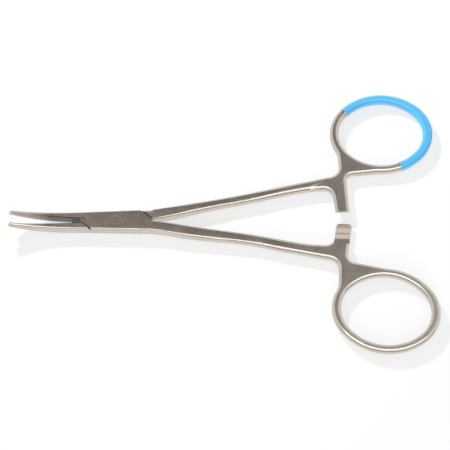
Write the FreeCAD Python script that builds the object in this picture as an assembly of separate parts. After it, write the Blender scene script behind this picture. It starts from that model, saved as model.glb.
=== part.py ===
import FreeCAD, Part
import math
import os

# Curved mosquito forceps with a box lock and a ratchet, 125 mm long when closed.
# Millimetres and degrees. The origin is on the pin's axis at the underside of the box,
# +X runs towards the finger rings, +Z is the side that the jaws curve towards.
# Each half is drawn closed, with its jaw below the centre line and its shank above it,
# about the pin at mid thickness. The female half is then mirrored, and both are turned open.

# Opening at rest, between the two halves
rest_opening = 5.8

# Box lock
box_thickness = 3.6
box_half_width = 2.95
box_taper_angle = 1.7
box_edge_radius = 0.35
cheek_reach = 10.6
cheek_corner = 7.3
slot_height = 1.7
slot_radius = 7.9
tongue_side_clearance = 0.05
tongue_end_clearance = 0.08
shoulder_clearance = 0.07
centre_gap = 0.06

# Lock pin, ground flush with the cheeks
pin_radius = 1.1
pin_head_radius = 1.35
pin_head_depth = 0.3
pin_running_clearance = 0.05

# Jaws: sizes at the tip, and how late the curve rises and the thickness falls
jaw_reach = 31.4
jaw_tip_width = 0.9
jaw_tip_thickness = 2.0
jaw_tip_radius = 0.66
jaw_rise = 3.4
jaw_rise_power = 2.6
jaw_thinning_power = 3
jaw_sections = 7
jaw_nose_radius = 0.6
jaw_nose_sweep = 75.0
jaw_nose_steps = 4

# Serrations across the jaw faces
serration_pitch = 0.6
serration_depth = 0.25
serration_length = 18.0

# Shanks: place and width at the throat, the neck, the waist and the end
throat_edge_radius = 0.08
throat_x = 14.5
throat_clearance = 0.12
throat_width = 3.0
neck_x = 18.7
waist_x = 34.0
shank_end_x = 51.5
shank_splay = 8.8
neck_thickness = 3.3
waist_edge_radius = 0.65
male_neck_y = 2.2
male_neck_width = 3.0
male_waist_y = 4.4
male_waist_width = 2.6
male_end_y = 7.15
male_end_width = 2.8
female_neck_y = 2.15
female_neck_width = 3.3
female_waist_y = 3.6
female_waist_width = 3.05
female_end_y = 6.05
female_end_width = 3.3

# Finger rings: centre, half axes of the wall's middle line, and lean of the long axis
ring_end_wall = 2.6
ring_side_wall = 2.3
ring_thickness = 2.7
edge_radius = 0.95
male_ring_x = 79.75
male_ring_y = 23.87
male_ring_half_length = 13.95
male_ring_half_height = 11.83
male_ring_lean = -2.0
female_ring_x = 78.9
female_ring_y = 24.45
female_ring_half_length = 14.05
female_ring_half_height = 11.5
female_ring_lean = 4.0

# Web between shank, ring and ratchet arm
web_inset = 1.8
web_base_inset = 0.2
web_blend_radius = 6.0
web_base_blend_radius = 14.0
outer_crotch_radius = 3.1
ring_crotch_radius = 2.2
inner_crotch_radius = 2.8
flare_length = 4.5
flare_radius = 40.0
male_crotch_y = 6.45
female_crotch_y = 5.2
male_web_slope = 2.0
female_web_slope = 10.0

# Ratchet arms: both lie at the same place along the shanks
arm_x = 65.9
arm_base_width = 4.5
male_arm_width = 4.1
male_arm_shift = 0.35
male_arm_overreach = 1.35
female_arm_width = 4.5
female_arm_shift = 0.7
female_arm_overreach = 2.25
female_arm_corner_radius = 1.1
male_arm_corner_radius = 0.3
arm_step_y = 4.6
ratchet_clearance = 0.08
ratchet_pitch = 2.0
ratchet_depth = 0.5
ratchet_teeth = 3
ratchet_nose = 0.9
ratchet_undercut = 0.25

# Coloured coat dipped over part of the male ring
coat_thickness = 0.14
coat_start_angle = -67.0
coat_end_angle = 142.0

# Worked out from the sizes above
half_gap = centre_gap / 2
root_x = cheek_reach + shoulder_clearance + 0.05
tongue_height = slot_height - 2 * tongue_side_clearance
tongue_radius = slot_radius - tongue_end_clearance
far = jaw_reach + shank_end_x + male_ring_x
tall = 2 * box_thickness
AXIS = FreeCAD.Vector(0, 0, 1)
SIDE = FreeCAD.Vector(0, 1, 0)
ORIGIN = FreeCAD.Vector(0, 0, 0)


def prism(points, low, high):
    """Solid between two heights over a closed polygon of plan points."""
    corners = [FreeCAD.Vector(x, y, low) for x, y in points]
    face = Part.Face(Part.makePolygon(corners + corners[:1]))
    return face.extrude(FreeCAD.Vector(0, 0, high - low))


def half_turned(shape):
    """Copy of a shape turned half a turn about the pin."""
    copy = shape.copy()
    copy.rotate(ORIGIN, AXIS, 180)
    return copy


def bar_section(origin, across, up, inner, outer, thickness, inner_radius, outer_radius):
    """Closed rectangle with rounded corners, set across a bar from its inner to its outer side."""
    half = thickness / 2

    def at(side, height):
        return origin + across * side + up * height

    def corner(side, height, radius, side_sign, height_sign, from_height):
        flat_side = at(side - side_sign * radius, height)
        flat_height = at(side, height - height_sign * radius)
        bulge = radius * (1 - math.sqrt(0.5))
        middle = at(side - side_sign * bulge, height - height_sign * bulge)
        ends = (flat_height, flat_side) if from_height else (flat_side, flat_height)
        return Part.Arc(ends[0], middle, ends[1]).toShape()

    def line(side_a, height_a, side_b, height_b):
        return Part.makeLine(at(side_a, height_a), at(side_b, height_b))

    outline = [
        line(inner + inner_radius, -half, outer - outer_radius, -half),
        corner(outer, -half, outer_radius, 1, -1, False),
        line(outer, outer_radius - half, outer, half - outer_radius),
        corner(outer, half, outer_radius, 1, 1, True),
        line(outer - outer_radius, half, inner + inner_radius, half),
        line(inner, half - inner_radius, inner, inner_radius - half),
    ]
    if inner_radius > 0:
        outline.insert(5, corner(inner, half, inner_radius, -1, 1, False))
        outline.append(corner(inner, -half, inner_radius, -1, -1, True))
    return Part.Wire(outline)


def box_side(x, sign):
    """Distance of the box's long side from the closed centre line; it lies level at the rest opening."""
    turn = math.radians(rest_opening / 2)
    slope = math.tan(math.radians(sign * box_taper_angle - rest_opening / 2))
    reach = sign * box_half_width
    return reach * math.cos(turn) + (x - reach * math.sin(turn)) * slope


def jaw_frame(share):
    """Centre, direction and upward normal of the jaw at a share of its length from the root.

    The line runs on straight before the root, where the share is negative.
    """
    run = jaw_reach - jaw_nose_radius - root_x
    curved = max(share, 0)
    slope = jaw_rise_power * jaw_rise * curved ** (jaw_rise_power - 1) / run
    level = math.hypot(1, slope)
    centre = FreeCAD.Vector(-root_x - run * share, 0, jaw_rise * curved ** jaw_rise_power)
    along = FreeCAD.Vector(-1 / level, 0, slope / level)
    up = FreeCAD.Vector(slope / level, 0, 1 / level)
    return centre, along, up


def jaw_section(place, up, width, thickness, radius):
    """Section of the jaw with a rounded back, which runs past the gripping face."""
    return bar_section(place, -SIDE, up, -centre_gap, width, thickness, 0, radius)


def jaw():
    """Tapered jaw that curves upwards, with a rounded back and nose and a flat face that grips."""
    root_width = -box_side(-root_x, -1)
    bar = []
    for step in range(jaw_sections):
        share = step / (jaw_sections - 1)
        centre, along, up = jaw_frame(share)
        width = root_width + (jaw_tip_width - root_width) * share
        thinned = share ** jaw_thinning_power
        thickness = box_thickness + (jaw_tip_thickness - box_thickness) * thinned
        radius = box_edge_radius + (jaw_tip_radius - box_edge_radius) * share
        bar.append(jaw_section(centre, up, width, thickness, radius))
    nose = []
    for step in range(jaw_nose_steps + 1):
        angle = math.radians(jaw_nose_sweep * step / jaw_nose_steps)
        shrink = jaw_nose_radius * (1 - math.cos(angle))
        place = centre + along * (jaw_nose_radius * math.sin(angle))
        width = jaw_tip_width - shrink
        radius = jaw_tip_radius * width / jaw_tip_width
        nose.append(jaw_section(place, up, width, jaw_tip_thickness - 2 * shrink, radius))
    whole = Part.makeLoft(bar, True, False).fuse(Part.makeLoft(nose, True, True))
    grip = Part.makeBox(far, far, far, FreeCAD.Vector(-far, -half_gap - far, -far / 2))
    return whole.common(grip).cut(serrations())


def serrations():
    """Grooves across the gripping face, square to the jaw's curve."""
    run = jaw_reach - root_x
    count = int(serration_length / serration_pitch)
    mouth = serration_pitch * 0.45
    lift = FreeCAD.Vector(0, half_gap, 0)
    bottom = FreeCAD.Vector(0, -half_gap - serration_depth, 0)
    grooves = []
    for index in range(count):
        centre, along, up = jaw_frame(1 - (index + 1) * serration_pitch / run)
        start = centre - up * box_thickness
        sides = [start + along * mouth, start - along * mouth]
        points = [sides[0] + lift, sides[0] - lift, start + bottom, sides[1] - lift, sides[1] + lift]
        face = Part.Face(Part.makePolygon(points + points[:1]))
        grooves.append(face.extrude(up * 2 * box_thickness))
    return Part.makeCompound(grooves)


def shank(neck_y, neck_width, waist_y, waist_width, end_y, end_width):
    """Tapered bar from the box to the web, with softer edges and less thickness as it goes."""
    along = FreeCAD.Vector(1, 0, 0)
    splayed = FreeCAD.Vector(-math.sin(math.radians(shank_splay)),
                             math.cos(math.radians(shank_splay)), 0)
    run = FreeCAD.Vector(splayed.y, -splayed.x, 0)
    root = FreeCAD.Vector(root_x, 0, 0)
    end = FreeCAD.Vector(shank_end_x, end_y, 0)
    throat = FreeCAD.Vector(throat_x, 0, 0)
    neck = FreeCAD.Vector(neck_x, neck_y, 0)
    waist = FreeCAD.Vector(waist_x, waist_y, 0)
    sections = [
        bar_section(root, SIDE, AXIS, half_gap, box_side(root_x, 1), box_thickness,
                    throat_edge_radius, box_edge_radius),
        bar_section(throat, SIDE, AXIS, throat_clearance, throat_clearance + throat_width,
                    (box_thickness + neck_thickness) / 2, waist_edge_radius / 2, waist_edge_radius / 2),
        bar_section(neck, SIDE, AXIS, -neck_width / 2, neck_width / 2, neck_thickness,
                    waist_edge_radius * 0.8, waist_edge_radius * 0.8),
        bar_section(waist, SIDE, AXIS, -waist_width / 2, waist_width / 2, ring_thickness,
                    waist_edge_radius, waist_edge_radius),
        bar_section(end - run * flare_length, splayed, AXIS, -end_width / 2, end_width / 2,
                    ring_thickness, edge_radius, edge_radius),
        bar_section(end, splayed, AXIS, -end_width / 2, end_width / 2, ring_thickness,
                    edge_radius, edge_radius),
    ]
    return Part.makeLoft(sections, True, False)


def oval_disc(x, y, half_length, half_height, lean, thickness):
    """Oval disc of four tangent arcs about mid thickness, its long axis leaning from X."""
    shift = oval_shift(half_length, half_height)
    small = half_length - shift
    large = half_height + shift
    centres = [(shift, 0, small), (0, -shift, large), (-shift, 0, small), (0, shift, large)]

    def at(centre_x, centre_y, radius, angle):
        turn = math.radians(angle)
        spot = FreeCAD.Vector(centre_x + radius * math.cos(turn), centre_y + radius * math.sin(turn), 0)
        turned = FreeCAD.Rotation(AXIS, lean).multVec(spot)
        return turned + FreeCAD.Vector(x, y, -thickness / 2)

    arcs = []
    for quarter, (centre_x, centre_y, radius) in enumerate(centres):
        places = [at(centre_x, centre_y, radius, quarter * 90 + angle) for angle in (-45, 0, 45)]
        arcs.append(Part.Arc(*places).toShape())
    return Part.Face(Part.Wire(arcs)).extrude(FreeCAD.Vector(0, 0, thickness))


def oval_shift(half_length, half_height):
    """Distance of each arc's centre from the middle of an oval."""
    return (half_length - half_height) / (2 - math.sqrt(2))


def upright_edge(solid, x, y):
    """The solid's upright edge that stands nearest to a plan point."""
    upright = [edge for edge in solid.Edges if edge.BoundBox.ZLength > ring_thickness * 0.9
               and edge.BoundBox.DiagonalLength < ring_thickness * 1.1]
    return min(upright, key=lambda edge: math.hypot(edge.CenterOfMass.x - x, edge.CenterOfMass.y - y))


def ring_and_web(end_y, end_width, crotch_y, web_slope, ring_x, ring_y, half_length, half_height, lean,
                 arm_width, arm_shift, arm_overreach):
    """Finger ring, web and plain ratchet arm as one plate with rounded edges."""
    tangent = math.tan(math.radians(shank_splay))
    run_x = math.cos(math.radians(shank_splay))
    run_y = math.sin(math.radians(shank_splay))
    outer_a = half_length + ring_end_wall / 2
    outer_b = half_height + ring_side_wall / 2
    web_x = ring_x - outer_a + web_inset
    rise = math.radians(web_slope)
    shift = oval_shift(outer_a, outer_b)
    drop = outer_b + shift - shift * math.cos(rise - math.radians(lean)) - web_base_inset
    foot = (ring_x + drop * math.sin(rise), ring_y - drop * math.cos(rise))
    web_y = foot[1] - (foot[0] - arm_x - arm_base_width / 2) * math.tan(rise)
    start_outer = (shank_end_x - run_y * end_width / 2, end_y + run_x * end_width / 2)
    start_inner = (shank_end_x + run_y * end_width / 2, end_y - run_x * end_width / 2)
    corner_y = start_outer[1] + (web_x - start_outer[0]) * tangent
    flare = (start_inner[0] + run_x * flare_length, start_inner[1] + run_y * flare_length)
    arm_end_y = -arm_overreach - edge_radius * 2
    arm_length = web_y - arm_end_y
    lean_rate = arm_shift / (crotch_y + arm_overreach)
    taper_rate = (arm_base_width - arm_width) / 2 / (crotch_y + arm_overreach)

    def arm_side(sign, y):
        drop = crotch_y - y
        return (arm_x + lean_rate * drop + sign * (arm_base_width / 2 - taper_rate * drop), y)

    points = [start_outer, (web_x, corner_y), (web_x, ring_y), (ring_x, ring_y), foot,
              arm_side(1, web_y), arm_side(1, arm_end_y), arm_side(-1, arm_end_y),
              arm_side(-1, crotch_y), flare, start_inner]
    half = ring_thickness / 2
    plate = prism(points, -half, half)
    plate = plate.fuse(oval_disc(ring_x, ring_y, outer_a, outer_b, lean, ring_thickness))
    plate = plate.removeSplitter()
    blends = [
        (outer_crotch_radius, (web_x, corner_y)),
        (ring_crotch_radius, arm_side(1, web_y)),
        (inner_crotch_radius, arm_side(-1, crotch_y)),
        (flare_radius, flare),
        (web_blend_radius, (web_x, ring_y - outer_b * 0.6)),
        (web_base_blend_radius, (foot[0] - math.sqrt(2 * outer_b * web_base_inset), foot[1])),
    ]
    for radius, place in blends:
        plate = plate.makeFillet(radius, [upright_edge(plate, *place)])
    hole = oval_disc(ring_x, ring_y, outer_a - ring_end_wall, outer_b - ring_side_wall, lean, tall)
    plate = plate.cut(hole)
    ends = [edge for edge in plate.Edges if edge.BoundBox.ZLength < 0.01
            and (edge.CenterOfMass.x < shank_end_x + 0.01
                 or edge.BoundBox.YLength < 0.01 and edge.CenterOfMass.y < arm_end_y + 0.01)]
    rims = [edge for edge in plate.Edges if edge.BoundBox.ZLength < 0.01
            and not any(edge.isSame(end) for end in ends)]
    return plate.makeFillet(edge_radius, rims)


def lock_block():
    """Full tapered block of the box lock, its long edges rounded."""
    ends = []
    for x in (-root_x, root_x):
        ends.append(bar_section(FreeCAD.Vector(x, 0, 0), SIDE, AXIS, box_side(x, -1), box_side(x, 1),
                                box_thickness, box_edge_radius, box_edge_radius))
    return Part.makeLoft(ends, True, True)


def beyond_cheek(side, clearance):
    """Space past the slanted cheek edge at the jaws, on one side of the centre line."""
    reach = box_half_width + 1
    slant = (cheek_reach - cheek_corner) / box_half_width
    near = (-cheek_reach - clearance, 0)
    low = (-cheek_reach - clearance + slant * reach, side * reach)
    return prism([near, low, (-far, side * reach), (-far, 0)], -tall, tall)


def male_lock():
    """Tongue through the box, with full-height roots past the shoulders."""
    block = lock_block()

    def own_side(height):
        return prism([(0, -half_gap), (0, -far), (-far, -far), (-far, -half_gap)], -height / 2, height / 2)

    root = block.common(beyond_cheek(-1, shoulder_clearance)).common(own_side(tall))
    disc = Part.makeCylinder(tongue_radius, tongue_height, FreeCAD.Vector(0, 0, -tongue_height / 2))
    bar = own_side(tongue_height)
    tongue = block.common(disc.fuse([bar, half_turned(bar)]))
    bore = Part.makeCylinder(pin_radius + pin_running_clearance, tall, FreeCAD.Vector(0, 0, -box_thickness))
    return tongue.cut(bore).fuse([root, half_turned(root)])


def pin_shape():
    """Rivet with a flared head at each end, flush with the cheeks."""
    half = box_thickness / 2
    profile = [(0, -half), (pin_head_radius, -half), (pin_radius, pin_head_depth - half),
               (pin_radius, half - pin_head_depth), (pin_head_radius, half), (0, half)]
    points = [FreeCAD.Vector(x, 0, z) for x, z in profile]
    face = Part.Face(Part.makePolygon(points + points[:1]))
    return face.revolve(ORIGIN, AXIS, 360)


def female_lock():
    """Box with two cheeks and a slot through it for the tongue."""
    beyond = beyond_cheek(1, 0)
    gap = prism([(-cheek_reach, -half_gap), (-cheek_reach, 1), (-far, 1), (-far, -half_gap)], -tall, tall)
    disc = Part.makeCylinder(slot_radius, slot_height, FreeCAD.Vector(0, 0, -slot_height / 2))
    mouth = prism([(0, -half_gap), (0, far), (-far, far), (-far, -half_gap)],
                  -slot_height / 2, slot_height / 2)
    tools = [beyond, half_turned(beyond), gap, half_turned(gap), disc, mouth, half_turned(mouth)]
    return lock_block().cut(tools).cut(pin_shape())


def ratchet_cut(overreach, upper):
    """What is taken off an arm: the other arm's layer, the teeth, and the end past the tip."""
    sign = 1 if upper else -1
    width = arm_base_width * 2
    left = arm_x - width
    crest = -sign * ratchet_clearance / 2
    valley = crest - sign * ratchet_depth
    end = -overreach - edge_radius * 3
    points = [(end, sign * tall), (end, valley), (-overreach, valley)]
    for tooth in range(ratchet_teeth):
        tip = -overreach + ratchet_nose + tooth * ratchet_pitch
        points.append((tip, crest))
        points.append((tip + ratchet_depth * ratchet_undercut, valley))
    points.append((arm_step_y, valley))
    points.append((arm_step_y + ratchet_depth, sign * tall))
    corners = [FreeCAD.Vector(left, y, z) for y, z in points]
    face = Part.Face(Part.makePolygon(corners + corners[:1]))
    return face.extrude(FreeCAD.Vector(2 * width, 0, 0))


def arm_end_cut(overreach, arm_shift, arm_width, corner_radius):
    """What lies past an arm's end, whose corners are rounded in plan."""
    corner = FreeCAD.Vector(arm_x - arm_width * 1.5, corner_radius - overreach - far, -box_thickness)
    block = Part.makeBox(arm_width * 3, far, tall, corner)
    middle = arm_x + arm_shift
    keep = Part.makeBox(arm_width, far, tall,
                        FreeCAD.Vector(middle - arm_width / 2, -overreach, -box_thickness))
    front = [edge for edge in keep.Edges if edge.BoundBox.ZLength > 1
             and abs(edge.CenterOfMass.y + overreach) < 0.01]
    return block.cut(keep.makeFillet(corner_radius, front))


def place(shape, opening):
    """Open a closed half about the pin and stand it on the underside of the box."""
    shape.rotate(ORIGIN, AXIS, opening)
    shape.translate(FreeCAD.Vector(0, 0, box_thickness / 2))
    return shape


def mirrored(shape):
    """Shape reflected to the other side of the centre line."""
    return shape.mirror(ORIGIN, FreeCAD.Vector(0, 1, 0))


def male_half():
    """Half with the tongue, whose ratchet teeth face down."""
    plate = ring_and_web(male_end_y, male_end_width, male_crotch_y, male_web_slope, male_ring_x, male_ring_y,
                         male_ring_half_length, male_ring_half_height, male_ring_lean,
                         male_arm_width, male_arm_shift, male_arm_overreach)
    plate = plate.cut([ratchet_cut(male_arm_overreach, False),
                       arm_end_cut(male_arm_overreach, male_arm_shift, male_arm_width, male_arm_corner_radius)])
    bar = shank(male_neck_y, male_neck_width, male_waist_y, male_waist_width, male_end_y, male_end_width)
    return male_lock().fuse([jaw(), bar, plate]).removeSplitter()


def female_half():
    """Half with the box, whose ratchet teeth face up."""
    plate = ring_and_web(female_end_y, female_end_width, female_crotch_y, female_web_slope,
                         female_ring_x, female_ring_y,
                         female_ring_half_length, female_ring_half_height, female_ring_lean,
                         female_arm_width, female_arm_shift, female_arm_overreach)
    plate = plate.cut([ratchet_cut(female_arm_overreach, True),
                       arm_end_cut(female_arm_overreach, female_arm_shift, female_arm_width,
                                   female_arm_corner_radius)])
    bar = shank(female_neck_y, female_neck_width, female_waist_y, female_waist_width,
                female_end_y, female_end_width)
    return female_lock().fuse([jaw(), bar, plate]).removeSplitter()


def ring_coat():
    """Thin coat round the wall of the male ring, over most of its far side."""
    def ring(grown):
        outer_a = male_ring_half_length + ring_end_wall / 2
        outer_b = male_ring_half_height + ring_side_wall / 2
        thickness = ring_thickness + 2 * grown
        outer = oval_disc(male_ring_x, male_ring_y, outer_a + grown, outer_b + grown,
                          male_ring_lean, thickness)
        inner = oval_disc(male_ring_x, male_ring_y, outer_a - ring_end_wall - grown,
                          outer_b - ring_side_wall - grown, male_ring_lean, thickness)
        wall = outer.cut(inner)
        rims = [edge for edge in wall.Edges if edge.BoundBox.ZLength < 0.01]
        return wall.makeFillet(edge_radius + grown, rims)

    reach = 2 * male_ring_half_length
    corners = [(male_ring_x, male_ring_y)]
    steps = 4
    for step in range(steps + 1):
        angle = math.radians(coat_start_angle + (coat_end_angle - coat_start_angle) * step / steps)
        corners.append((male_ring_x + reach * math.cos(angle), male_ring_y + reach * math.sin(angle)))
    sector = prism(corners, -tall, tall)
    return ring(coat_thickness).common(sector).cut(ring(0))


os.makedirs("parts", exist_ok=True)
parts = {
    "female_half": place(mirrored(female_half()), -rest_opening / 2),
    "male_half": place(male_half(), rest_opening / 2),
    "lock_pin": place(pin_shape(), -rest_opening / 2),
    "ring_coat": place(ring_coat(), rest_opening / 2),
}
for name, shape in parts.items():
    shape.exportStep("parts/" + name + ".step")
    print(name, shape.ShapeType, len(shape.Solids), "valid", shape.isValid(),
          "volume", round(shape.Volume, 2), "faces", len(shape.Faces))
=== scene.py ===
"""Satin steel mosquito haemostat with a blue coat on one finger ring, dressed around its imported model."""

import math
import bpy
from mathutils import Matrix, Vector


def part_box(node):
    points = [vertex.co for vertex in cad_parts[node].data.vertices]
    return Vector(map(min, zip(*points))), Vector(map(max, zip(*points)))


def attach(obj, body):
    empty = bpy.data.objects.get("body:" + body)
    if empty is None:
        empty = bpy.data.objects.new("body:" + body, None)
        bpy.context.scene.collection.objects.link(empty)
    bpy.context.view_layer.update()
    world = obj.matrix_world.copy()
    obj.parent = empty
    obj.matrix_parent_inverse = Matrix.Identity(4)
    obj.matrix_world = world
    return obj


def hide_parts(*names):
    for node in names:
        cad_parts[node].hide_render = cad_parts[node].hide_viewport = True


bl_info = {
    "name": "Mosquito haemostat",
    "version": (1, 0, 0),
    "blender": (4, 5, 0),
    "location": "3D View > Sidebar > Haemostat",
    "description": "Finishes a curved mosquito haemostat and sets its stage, lights and camera",
    "category": "Object",
}

import bpy
from bpy.props import FloatProperty, FloatVectorProperty, PointerProperty
from mathutils import Matrix, Vector

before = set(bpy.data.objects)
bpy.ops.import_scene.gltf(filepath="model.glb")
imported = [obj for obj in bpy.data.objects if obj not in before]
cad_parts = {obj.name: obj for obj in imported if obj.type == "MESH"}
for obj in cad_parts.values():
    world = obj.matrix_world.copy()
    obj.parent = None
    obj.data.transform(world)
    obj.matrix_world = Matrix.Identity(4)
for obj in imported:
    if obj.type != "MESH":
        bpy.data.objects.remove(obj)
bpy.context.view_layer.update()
MM = 0.001
MIDDLE_HEIGHT = sum(corner[2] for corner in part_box("lock_pin")) / 2

# Jaws at rest: turn of each from the midline, places ahead of the pin, and depth under the gripping face.
# They place the painted shade on the gripping faces, which fades out towards the tips.
HALF_OPENING = math.radians(2.9)
JAW_ROOT = 9.4 * MM
ROOT_FADE = 0.3 * MM
COMB_END = 13 * MM
COMB_FADE = 0.2 * MM
JAW_SHADE_END = 19 * MM
JAW_FADE = 7 * MM
GRIP_DEPTH = 0.32 * MM
TOP_MARGIN = 0.2 * MM

# Grinding marks of the steel, whose frequency along X is a share of that across it. A speck is so many
# grains wide, and patches and specks change the roughness by so much either way.
PATCH_SIZE = 6 * MM
GRAIN_ALONG = 0.12
GRAIN_STRENGTH = 0.12
GRAIN_DEPTH = 0.01 * MM
SPECK_GRAINS = 1.6
SCRATCH_SPACING = 0.5 * MM
SCRATCH_ALONG = 0.06
SCRATCH_TURN = math.radians(35)
SCRATCH_STRENGTH = 0.15
SCRATCH_DEPTH = 0.008 * MM
PATCH_ROUGHNESS = 0.02
SPECK_ROUGHNESS = 0.04

# Skin of the dipped plastic: slow waves with a slightly darker tone, and fine pores.
WAVE_SIZE = 1.8 * MM
WAVE_STRENGTH = 0.25
WAVE_DEPTH = 0.05 * MM
WAVE_TONE = 0.97
PORE_SIZE = 0.12 * MM
PORE_STRENGTH = 0.1
PORE_DEPTH = 0.01 * MM
PORE_SMOOTHER = 0.04
PORE_ROUGHER = 0.06

# Where the room gives way to the front screen, along Y of the direction.
FRONT_START = -0.15
FRONT_FULL = -0.32

# Meshes and camera. The sensor's width is in millimetres.
WELD_DISTANCE = 0.0015 * MM
SMOOTH_ANGLE = math.radians(32)
FLOOR_VERTICES = 96
SENSOR_WIDTH = 36.0
CLIP_START = 10 * MM


class SteelSettings(bpy.types.PropertyGroup):
    """Finish of the two steel halves and the pin."""
    colour: FloatVectorProperty(
        name="Steel", description="Colour of the satin steel",
        default=(0.645, 0.59, 0.53), subtype="COLOR", min=0, max=1)
    shade: FloatVectorProperty(
        name="Shade", description="Colour of the duller patches",
        default=(0.585, 0.53, 0.465), subtype="COLOR", min=0, max=1)
    roughness: FloatProperty(
        name="Roughness", description="Mean roughness of the satin finish",
        default=0.25, subtype="FACTOR", min=0, max=1)
    grain: FloatProperty(
        name="Grain", description="Spacing of the finest grinding marks",
        default=0.09 * MM, unit="LENGTH", min=0)
    edge: FloatProperty(
        name="Edge break", description="Radius to which sharp edges are broken",
        default=0.06 * MM, unit="LENGTH", min=0)
    # Painted shade: ambient occlusion darkens the steel's colour in narrow gaps and hollows, where shade
    # falls.
    painted_shade_reach: FloatProperty(
        name="Crevice", description="Distance over which narrow gaps darken",
        default=1.2 * MM, unit="LENGTH", min=0)
    painted_gap_shade_share: FloatProperty(
        name="Gap shade", description="Share of the colour left deep in a gap",
        default=0.12, subtype="FACTOR", min=0, max=1)
    # Painted shade on the jaws' gripping faces: shares of the colour left on the crests and in the grooves.
    crest_painted_shade: FloatProperty(
        name="Crest shade", description="Share of the colour left on the crests of the jaws' serrations",
        default=0.75, subtype="FACTOR", min=0, max=1)
    groove_painted_shade: FloatProperty(
        name="Groove shade", description="Share of the colour left in the grooves between the crests",
        default=0.08, subtype="FACTOR", min=0, max=1)


class CoatSettings(bpy.types.PropertyGroup):
    """Finish of the plastic on the finger ring."""
    colour: FloatVectorProperty(
        name="Coat", description="Colour of the plastic coat",
        default=(0.082, 0.475, 0.83), subtype="COLOR", min=0, max=1)
    roughness: FloatProperty(
        name="Roughness", description="Roughness of the plastic coat",
        default=0.28, subtype="FACTOR", min=0, max=1)
    gloss: FloatProperty(
        name="Gloss", description="Weight of the clear top layer",
        default=0.8, subtype="FACTOR", min=0, max=1)
    gloss_roughness: FloatProperty(
        name="Gloss roughness", description="Roughness of the clear top layer",
        default=0.04, subtype="FACTOR", min=0, max=1)


class StageSettings(bpy.types.PropertyGroup):
    """Floor, lights and camera."""
    floor_radius: FloatProperty(
        name="Floor radius", description="Radius of the white table top",
        default=0.7, unit="LENGTH", min=0)
    floor_white: FloatProperty(
        name="Floor white", description="Whiteness of the table top",
        default=0.92, subtype="FACTOR", min=0, max=1)
    ambient: FloatProperty(
        name="Ambient", description="Plain level of the light from all sides",
        default=0.5, min=0)
    ceiling: FloatProperty(
        name="Ceiling", description="Brightness of the ceiling as the metal shows it",
        default=0.84, min=0)
    walls: FloatProperty(
        name="Walls", description="Brightness of the walls round the table as the metal shows them",
        default=1.0, min=0)
    dark_card: FloatVectorProperty(
        name="Dark card", description="Colour of the dark card over the table, which the flat tops show",
        default=(0.045, 0.035, 0.025), subtype="COLOR", min=0, max=1)
    card_direction: FloatVectorProperty(
        name="Card direction", description="Where the dark card hangs",
        default=(-0.045, 0.434, 0.9), size=3, subtype="DIRECTION")
    card_reach: FloatVectorProperty(
        name="Card reach", description="Start and end of the card's soft rim on a sphere of radius 1",
        default=(0.13, 0.27), size=2, min=0)
    front_bright: FloatProperty(
        name="Front screen", description="Brightness of the screen in front, which lights near edges",
        default=1.15, min=0)
    front_dark: FloatProperty(
        name="Front rim", description="Brightness between the table and the front screen",
        default=0.08, min=0)
    key_power: FloatProperty(
        name="Key light", description="Power of the light from behind on the left",
        default=5.0, unit="POWER", min=0)
    key_place: FloatVectorProperty(
        name="Key place", description="Place of the key light",
        default=(-0.11, 0.26, 0.2), size=3, unit="LENGTH")
    key_radius: FloatProperty(
        name="Key radius", description="Radius of the key light, which softens the rim of the shadow",
        default=0.014, unit="LENGTH", min=0)
    fill_power: FloatProperty(
        name="Fill light", description="Power of the wide light in front, for the near sides",
        default=2.2, unit="POWER", min=0)
    fill_place: FloatVectorProperty(
        name="Fill place", description="Place of the fill light",
        default=(0.05, -0.6, 0.25), size=3, unit="LENGTH")
    fill_size: FloatProperty(
        name="Fill size", description="Side of the square fill light",
        default=0.4, unit="LENGTH", min=0)
    strip_power: FloatProperty(
        name="Strip light", description="Power of the long light overhead, which glosses round edges",
        default=0.8, unit="POWER", min=0)
    strip_place: FloatVectorProperty(
        name="Strip place", description="Place of the strip light",
        default=(0.03, -0.17, 0.58), size=3, unit="LENGTH")
    strip_length: FloatProperty(
        name="Strip length", description="Long side of the strip light",
        default=0.7, unit="LENGTH", min=0)
    strip_width: FloatProperty(
        name="Strip width", description="Short side of the strip light",
        default=0.12, unit="LENGTH", min=0)
    floor_glow: FloatProperty(
        name="Floor glow", description="Share of plain white in the floor as the camera sees it",
        default=0.7, subtype="FACTOR", min=0, max=1)
    floor_sheen: FloatProperty(
        name="Floor sheen", description="Share of plain white in the floor as the metal shows it",
        default=0.92, subtype="FACTOR", min=0, max=1)
    camera_elevation: FloatProperty(
        name="Elevation", description="Height of the view over the table",
        default=math.radians(66.0), subtype="ANGLE")
    camera_azimuth: FloatProperty(
        name="Azimuth", description="Turn of the view about the pin",
        default=math.radians(5.38), subtype="ANGLE")
    camera_roll: FloatProperty(
        name="Roll", description="Tilt of the picture",
        default=math.radians(-5.55), subtype="ANGLE")
    camera_distance: FloatProperty(
        name="Distance", description="Distance from the camera to what it looks at",
        default=382.5 * MM, unit="LENGTH", min=0)
    camera_lens: FloatProperty(
        name="Lens", description="Focal length in millimetres",
        default=104.55, unit="CAMERA", min=1)
    target: FloatVectorProperty(
        name="Target", description="Plan place that the camera looks at",
        default=(31.8 * MM, -1.28 * MM), size=2, unit="LENGTH")


def node(tree, kind, inputs=None, **settings):
    """New shader node with its settings and its unlinked inputs."""
    made = tree.nodes.new(kind)
    for key, value in settings.items():
        setattr(made, key, value)
    for key, value in (inputs or {}).items():
        made.inputs[key].default_value = value
    return made


def join(tree, source, socket, target, place):
    """Link one node's output to another's input."""
    tree.links.new(source.outputs[socket], target.inputs[place])


def new_material(name):
    """Material with a Principled shader and nothing else."""
    material = bpy.data.materials.new(name)
    material.use_nodes = True
    return material, material.node_tree, material.node_tree.nodes["Principled BSDF"]


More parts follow.
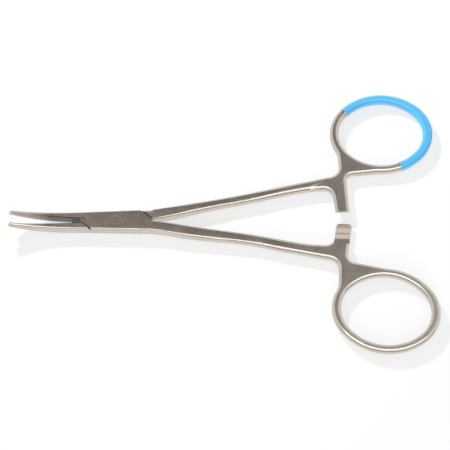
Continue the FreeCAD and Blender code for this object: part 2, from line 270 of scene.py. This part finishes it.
def stretched_noise(tree, place, size, along=1.0, turn=0.0, detail=3.0):
    """Noise on Object coordinates, with cells of a size that are size / along long in X.

    The turn about Z comes after the stretch, so it changes the pattern and not its direction.
    """
    mapping = node(tree, "ShaderNodeMapping", {"Rotation": (0.0, 0.0, turn), "Scale": (along, 1.0, 1.0)})
    join(tree, place, "Object", mapping, "Vector")
    noise = node(tree, "ShaderNodeTexNoise", {"Scale": 1 / size, "Detail": detail, "Roughness": 0.6})
    join(tree, mapping, "Vector", noise, "Vector")
    return noise


def ranged(tree, source, socket, low, high, to_low, to_high):
    """Output of a node brought from one range into another."""
    change = node(tree, "ShaderNodeMapRange", {"From Min": low, "From Max": high,
                                               "To Min": to_low, "To Max": to_high})
    join(tree, source, socket, change, "Value")
    return change


def blend(tree, factor, factor_socket, low, low_socket, high, high_socket, mode="MIX"):
    """Two colours brought together by a factor, which is a node's output or a plain number."""
    mix = node(tree, "ShaderNodeMix", data_type="RGBA", blend_type=mode)
    if factor_socket:
        join(tree, factor, factor_socket, mix, "Factor")
    else:
        mix.inputs["Factor"].default_value = factor
    join(tree, low, low_socket, mix, "A")
    join(tree, high, high_socket, mix, "B")
    return mix


def plain_colour(tree, colour):
    """Node that gives one colour."""
    plain = node(tree, "ShaderNodeRGB")
    plain.outputs["Color"].default_value = (*colour, 1)
    return plain


def grey_ramp(tree, source, socket, low, high, stops):
    """Grey level that follows a value between two limits, from stops of place and brightness."""
    ramp = node(tree, "ShaderNodeValToRGB")
    join(tree, ranged(tree, source, socket, low, high, 0, 1), "Result", ramp, "Fac")
    while len(ramp.color_ramp.elements) < len(stops):
        ramp.color_ramp.elements.new(0.5)
    for element, (place, value) in zip(ramp.color_ramp.elements, stops):
        element.position = place
        element.color = (value, value, value, 1)
    return ramp


def gripping_painted_shade(tree, place, settings):
    """Painted shade that follows the depth under the jaws' gripping faces, lighter on the crests and darkest
    in the grooves.

    Returns the painted shade and the share in which it counts. The plain face behind the comb counts as a
    groove and gets the grooves' painted shade.
    """
    parts = node(tree, "ShaderNodeSeparateXYZ")
    join(tree, place, "Object", parts, "Vector")
    side = node(tree, "ShaderNodeMath", operation="ABSOLUTE")
    join(tree, parts, "Y", side, 0)
    depth = node(tree, "ShaderNodeMath", {1: math.tan(HALF_OPENING)}, operation="MULTIPLY_ADD")
    join(tree, parts, "X", depth, 0)
    join(tree, side, "Value", depth, 2)
    inside = node(tree, "ShaderNodeMath", {1: MIDDLE_HEIGHT, 2: MIDDLE_HEIGHT - TOP_MARGIN},
                  operation="COMPARE")
    join(tree, parts, "Z", inside, 0)
    behind = ranged(tree, parts, "X", -COMB_END - COMB_FADE, -COMB_END, 0, GRIP_DEPTH / 2)
    throat = node(tree, "ShaderNodeMath", operation="MULTIPLY")
    join(tree, behind, "Result", throat, 0)
    join(tree, inside, "Value", throat, 1)
    below = node(tree, "ShaderNodeMath", operation="ADD")
    join(tree, depth, "Value", below, 0)
    join(tree, throat, "Value", below, 1)
    crest, groove = settings.crest_painted_shade, settings.groove_painted_shade
    ramp = grey_ramp(tree, below, "Value", 0, GRIP_DEPTH, [
        (0.0, crest), (0.25, crest), (0.4, groove), (0.9, groove), (1.0, 1.0)])
    rear = ranged(tree, parts, "X", -JAW_ROOT + ROOT_FADE, -JAW_ROOT, 0, 1)
    front = ranged(tree, parts, "X", -JAW_SHADE_END, -JAW_SHADE_END - JAW_FADE, 1, 0.25)
    both = node(tree, "ShaderNodeMath", operation="MULTIPLY")
    join(tree, rear, "Result", both, 0)
    join(tree, front, "Result", both, 1)
    return ramp, both


def satin_steel(name, settings):
    """Ground and satin-finished stainless steel: fine lengthwise grain, duller patches, broken edges, with
    painted shade in narrow gaps and on the jaws' gripping faces.
    """
    material, tree, shader = new_material(name)
    place = node(tree, "ShaderNodeTexCoord")
    patches = stretched_noise(tree, place, PATCH_SIZE, detail=6.0)
    grain = stretched_noise(tree, place, settings.grain, GRAIN_ALONG)
    speck = stretched_noise(tree, place, settings.grain * SPECK_GRAINS, detail=2.0)
    scratch = stretched_noise(tree, place, SCRATCH_SPACING, SCRATCH_ALONG, SCRATCH_TURN, 1.0)

    patchy = blend(tree, ranged(tree, patches, "Fac", 0.2, 0.8, 0, 1), "Result",
                   plain_colour(tree, settings.shade), "Color", plain_colour(tree, settings.colour), "Color")
    # Painted shade: the colour darkens where ambient occlusion finds narrow gaps, grooves and hollows.
    gap_occlusion = node(tree, "ShaderNodeAmbientOcclusion", {"Distance": settings.painted_shade_reach}, samples=6)
    gap_painted_shade = ranged(tree, gap_occlusion, "AO", 0.1, 0.75, settings.painted_gap_shade_share, 1)
    dark = blend(tree, 1.0, None, patchy, "Result", gap_painted_shade, "Result", "MULTIPLY")
    # Painted shade on the jaws' gripping faces, darkest in the serrations' grooves and on the plain face
    # behind the comb, fading towards the tips.
    face, reach = gripping_painted_shade(tree, place, settings)
    grip = blend(tree, reach, "Value", dark, "Result", face, "Color", "MULTIPLY")
    join(tree, grip, "Result", shader, "Base Color")

    rough = ranged(tree, patches, "Fac", 0.3, 0.7,
                   settings.roughness - PATCH_ROUGHNESS, settings.roughness + PATCH_ROUGHNESS)
    worn = ranged(tree, speck, "Fac", 0.3, 0.7, -SPECK_ROUGHNESS, SPECK_ROUGHNESS)
    total = node(tree, "ShaderNodeMath", operation="ADD")
    join(tree, rough, "Result", total, 0)
    join(tree, worn, "Result", total, 1)
    join(tree, total, "Value", shader, "Roughness")

    soft = node(tree, "ShaderNodeBevel", {"Radius": settings.edge}, samples=4)
    fine = node(tree, "ShaderNodeBump", {"Strength": GRAIN_STRENGTH, "Distance": GRAIN_DEPTH})
    join(tree, grain, "Fac", fine, "Height")
    join(tree, soft, "Normal", fine, "Normal")
    lines = node(tree, "ShaderNodeBump", {"Strength": SCRATCH_STRENGTH, "Distance": SCRATCH_DEPTH})
    join(tree, ranged(tree, scratch, "Fac", 0.3, 0.36, 0, 1), "Result", lines, "Height")
    join(tree, fine, "Normal", lines, "Normal")
    join(tree, lines, "Normal", shader, "Normal")
    shader.inputs["Metallic"].default_value = 1.0
    return material


def blue_plastic(settings):
    """Dipped plastic: even colour, slightly wavy skin with a soft gloss."""
    material, tree, shader = new_material("Blue plastic coat")
    place = node(tree, "ShaderNodeTexCoord")
    skin = stretched_noise(tree, place, WAVE_SIZE, detail=2.0)
    pores = stretched_noise(tree, place, PORE_SIZE, detail=2.0)
    darker = plain_colour(tree, [part * WAVE_TONE for part in settings.colour])
    tone = blend(tree, ranged(tree, skin, "Fac", 0.35, 0.6, 0, 1), "Result",
                 darker, "Color", plain_colour(tree, settings.colour), "Color")
    join(tree, tone, "Result", shader, "Base Color")
    rough = ranged(tree, pores, "Fac", 0.3, 0.7,
                   settings.roughness - PORE_SMOOTHER, settings.roughness + PORE_ROUGHER)
    join(tree, rough, "Result", shader, "Roughness")
    wavy = node(tree, "ShaderNodeBump", {"Strength": WAVE_STRENGTH, "Distance": WAVE_DEPTH})
    join(tree, skin, "Fac", wavy, "Height")
    fine = node(tree, "ShaderNodeBump", {"Strength": PORE_STRENGTH, "Distance": PORE_DEPTH})
    join(tree, pores, "Fac", fine, "Height")
    join(tree, wavy, "Normal", fine, "Normal")
    join(tree, fine, "Normal", shader, "Normal")
    shader.inputs["Coat Weight"].default_value = settings.gloss
    shader.inputs["Coat Roughness"].default_value = settings.gloss_roughness
    return material


def finished_copy(cad_node, name, body, material):
    """Welded and smoothed copy of a CAD node, which stands for it."""
    bpy.ops.object.select_all(action="DESELECT")
    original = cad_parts[cad_node]
    original.select_set(True)
    bpy.context.view_layer.objects.active = original
    bpy.ops.object.duplicate()
    piece = bpy.context.object
    piece.name = name
    bpy.ops.mesh.customdata_custom_splitnormals_clear()
    bpy.ops.object.mode_set(mode="EDIT")
    bpy.ops.mesh.select_all(action="SELECT")
    bpy.ops.mesh.remove_doubles(threshold=WELD_DISTANCE)
    bpy.ops.object.mode_set(mode="OBJECT")
    bpy.ops.object.shade_smooth_by_angle(angle=SMOOTH_ANGLE)
    bpy.ops.object.modifier_add(type="WEIGHTED_NORMAL")
    piece.modifiers["WeightedNormal"].keep_sharp = True
    bpy.ops.object.modifier_apply(modifier="WeightedNormal")
    piece.data.materials.clear()
    piece.data.materials.append(material)
    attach(piece, body)
    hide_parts(cad_node)
    return piece


class HAEMOSTAT_OT_halves(bpy.types.Operator):
    """Finish the female and the male half in satin steel"""
    bl_idname = "haemostat.halves"
    bl_label = "Steel halves"

    def execute(self, context):
        steel = satin_steel("Satin steel", context.scene.haemostat_steel)
        finished_copy("female_half", "female_half_finished", "female_body", steel)
        finished_copy("male_half", "male_half_finished", "male_body", steel)
        return {"FINISHED"}


class HAEMOSTAT_OT_pin(bpy.types.Operator):
    """Finish the flush lock pin"""
    bl_idname = "haemostat.pin"
    bl_label = "Lock pin"

    def execute(self, context):
        steel = satin_steel("Pin steel", context.scene.haemostat_steel)
        finished_copy("lock_pin", "lock_pin_finished", "female_body", steel)
        return {"FINISHED"}


class HAEMOSTAT_OT_coat(bpy.types.Operator):
    """Finish the blue coat on the male finger ring"""
    bl_idname = "haemostat.coat"
    bl_label = "Ring coat"

    def execute(self, context):
        plastic = blue_plastic(context.scene.haemostat_coat)
        finished_copy("ring_coat", "ring_coat_finished", "male_body", plastic)
        return {"FINISHED"}


def floor_material(settings):
    """White table top that keeps the object's shadow, and that the camera and the metal see near white."""
    material, tree, shader = new_material("White table")
    tree.nodes.remove(shader)
    output = tree.nodes["Material Output"]
    matte = node(tree, "ShaderNodeBsdfDiffuse", {"Color": (*[settings.floor_white] * 3, 1)})
    glow = node(tree, "ShaderNodeEmission", {"Color": (1, 1, 1, 1), "Strength": 1.0})
    path = node(tree, "ShaderNodeLightPath")
    seen = node(tree, "ShaderNodeMath", {1: settings.floor_glow}, operation="MULTIPLY")
    join(tree, path, "Is Camera Ray", seen, 0)
    share = node(tree, "ShaderNodeMath", {1: settings.floor_sheen}, operation="MULTIPLY_ADD")
    join(tree, path, "Is Glossy Ray", share, 0)
    join(tree, seen, "Value", share, 2)
    mix = node(tree, "ShaderNodeMixShader")
    join(tree, share, "Value", mix, "Fac")
    join(tree, matte, "BSDF", mix, 1)
    join(tree, glow, "Emission", mix, 2)
    join(tree, mix, "Shader", output, "Surface")
    return material


def studio_world(settings):
    """White to the camera, plain light to matt surfaces, and a studio with a dark card to glossy ones.

    The ramps' stops are heights of the direction, from 0 at the horizon to 1 overhead.
    """
    world = bpy.data.worlds.new("Studio")
    bpy.context.scene.world = world
    world.use_nodes = True
    tree = world.node_tree
    background = tree.nodes["Background"]
    place = node(tree, "ShaderNodeTexCoord")
    parts = node(tree, "ShaderNodeSeparateXYZ")
    join(tree, place, "Generated", parts, "Vector")
    room = grey_ramp(tree, parts, "Z", 0, 1, [
        (0.0, settings.walls * 0.8), (0.25, settings.walls), (0.55, settings.walls),
        (0.85, settings.ceiling), (1.0, settings.ceiling)])
    front = grey_ramp(tree, parts, "Z", 0, 1, [
        (0.0, settings.front_dark), (0.34, settings.front_dark),
        (0.42, settings.front_bright), (0.9, settings.front_bright), (0.97, settings.ceiling)])
    toward_front = ranged(tree, parts, "Y", FRONT_START, FRONT_FULL, 0, 1)
    walls = blend(tree, toward_front, "Result", room, "Color", front, "Color")
    offset = node(tree, "ShaderNodeVectorMath", operation="DISTANCE")
    offset.inputs[1].default_value = settings.card_direction
    join(tree, place, "Generated", offset, 0)
    past_card = ranged(tree, offset, "Value", *settings.card_reach, 0, 1)
    past_card.interpolation_type = "SMOOTHSTEP"
    card = plain_colour(tree, settings.dark_card)
    studio = blend(tree, past_card, "Result", card, "Color", walls, "Result")
    plain = plain_colour(tree, [settings.ambient] * 3)
    path = node(tree, "ShaderNodeLightPath")
    lit = blend(tree, path, "Is Glossy Ray", plain, "Color", studio, "Result")
    white = plain_colour(tree, [1, 1, 1])
    seen = blend(tree, path, "Is Camera Ray", lit, "Result", white, "Color")
    join(tree, seen, "Result", background, "Color")
    background.inputs["Strength"].default_value = 1.0
    world.cycles.sampling_method = "NONE"


def lamp(kind, name, place, power):
    """Light that faces the pin."""
    bpy.ops.object.light_add(type=kind)
    light = bpy.context.object
    light.name = name
    light.data.energy = power
    light.location = place
    light.rotation_euler = (-light.location).to_track_quat("-Z", "Y").to_euler()
    return light


class HAEMOSTAT_OT_stage(bpy.types.Operator):
    """Lay the white table top and set the lights and the camera"""
    bl_idname = "haemostat.stage"
    bl_label = "Stage"

    def execute(self, context):
        settings = context.scene.haemostat_stage
        bpy.ops.object.select_all(action="DESELECT")
        bpy.ops.mesh.primitive_circle_add(
            vertices=FLOOR_VERTICES, radius=settings.floor_radius, fill_type="NGON")
        floor = context.object
        floor.name = "table_top"
        floor.data.materials.append(floor_material(settings))
        studio_world(settings)

        key = lamp("POINT", "key_light", settings.key_place, settings.key_power)
        key.data.shadow_soft_size = settings.key_radius
        key.visible_glossy = False

        fill = lamp("AREA", "fill_light", settings.fill_place, settings.fill_power)
        fill.data.size = settings.fill_size
        fill.visible_glossy = False

        strip = lamp("AREA", "strip_light", settings.strip_place, settings.strip_power)
        strip.data.shape = "RECTANGLE"
        strip.data.size = settings.strip_length
        strip.data.size_y = settings.strip_width
        strip.visible_diffuse = False

        azimuth = settings.camera_azimuth
        elevation = settings.camera_elevation
        roll = settings.camera_roll
        back = Vector((math.sin(azimuth) * math.cos(elevation),
                       -math.cos(azimuth) * math.cos(elevation), math.sin(elevation)))
        level = Vector((math.cos(azimuth), math.sin(azimuth), 0))
        rise = back.cross(level)
        right = math.cos(roll) * level + math.sin(roll) * rise
        up = math.cos(roll) * rise - math.sin(roll) * level
        place = Vector((*settings.target, MIDDLE_HEIGHT)) + back * settings.camera_distance
        bpy.ops.object.camera_add()
        camera = context.object
        camera.data.lens = settings.camera_lens
        camera.data.sensor_width = SENSOR_WIDTH
        camera.data.clip_start = CLIP_START
        turn = Matrix((right, up, back)).transposed()
        camera.matrix_world = Matrix.Translation(place) @ turn.to_4x4()
        context.scene.camera = camera
        context.scene.view_settings.view_transform = "Standard"
        return {"FINISHED"}


class HAEMOSTAT_PT_panel(bpy.types.Panel):
    """Sizes and finishes of the haemostat"""
    bl_idname = "HAEMOSTAT_PT_panel"
    bl_label = "Haemostat"
    bl_space_type = "VIEW_3D"
    bl_region_type = "UI"
    bl_category = "Haemostat"

    def draw(self, context):
        for group, operators in (
                ("haemostat_steel", ("haemostat.halves", "haemostat.pin")),
                ("haemostat_coat", ("haemostat.coat",)),
                ("haemostat_stage", ("haemostat.stage",))):
            box = self.layout.box()
            settings = getattr(context.scene, group)
            for key in settings.__annotations__:
                box.prop(settings, key)
            for operator in operators:
                box.operator(operator)


CLASSES = (SteelSettings, CoatSettings, StageSettings, HAEMOSTAT_OT_halves, HAEMOSTAT_OT_pin,
           HAEMOSTAT_OT_coat, HAEMOSTAT_OT_stage, HAEMOSTAT_PT_panel)


def register():
    for item in CLASSES:
        bpy.utils.register_class(item)
    bpy.types.Scene.haemostat_steel = PointerProperty(type=SteelSettings)
    bpy.types.Scene.haemostat_coat = PointerProperty(type=CoatSettings)
    bpy.types.Scene.haemostat_stage = PointerProperty(type=StageSettings)


def unregister():
    del bpy.types.Scene.haemostat_stage
    del bpy.types.Scene.haemostat_coat
    del bpy.types.Scene.haemostat_steel
    for item in reversed(CLASSES):
        bpy.utils.unregister_class(item)


def main():
    register()
    bpy.ops.haemostat.stage()
    bpy.ops.haemostat.halves()
    bpy.ops.haemostat.pin()
    bpy.ops.haemostat.coat()


if __name__ == "__main__":
    main()
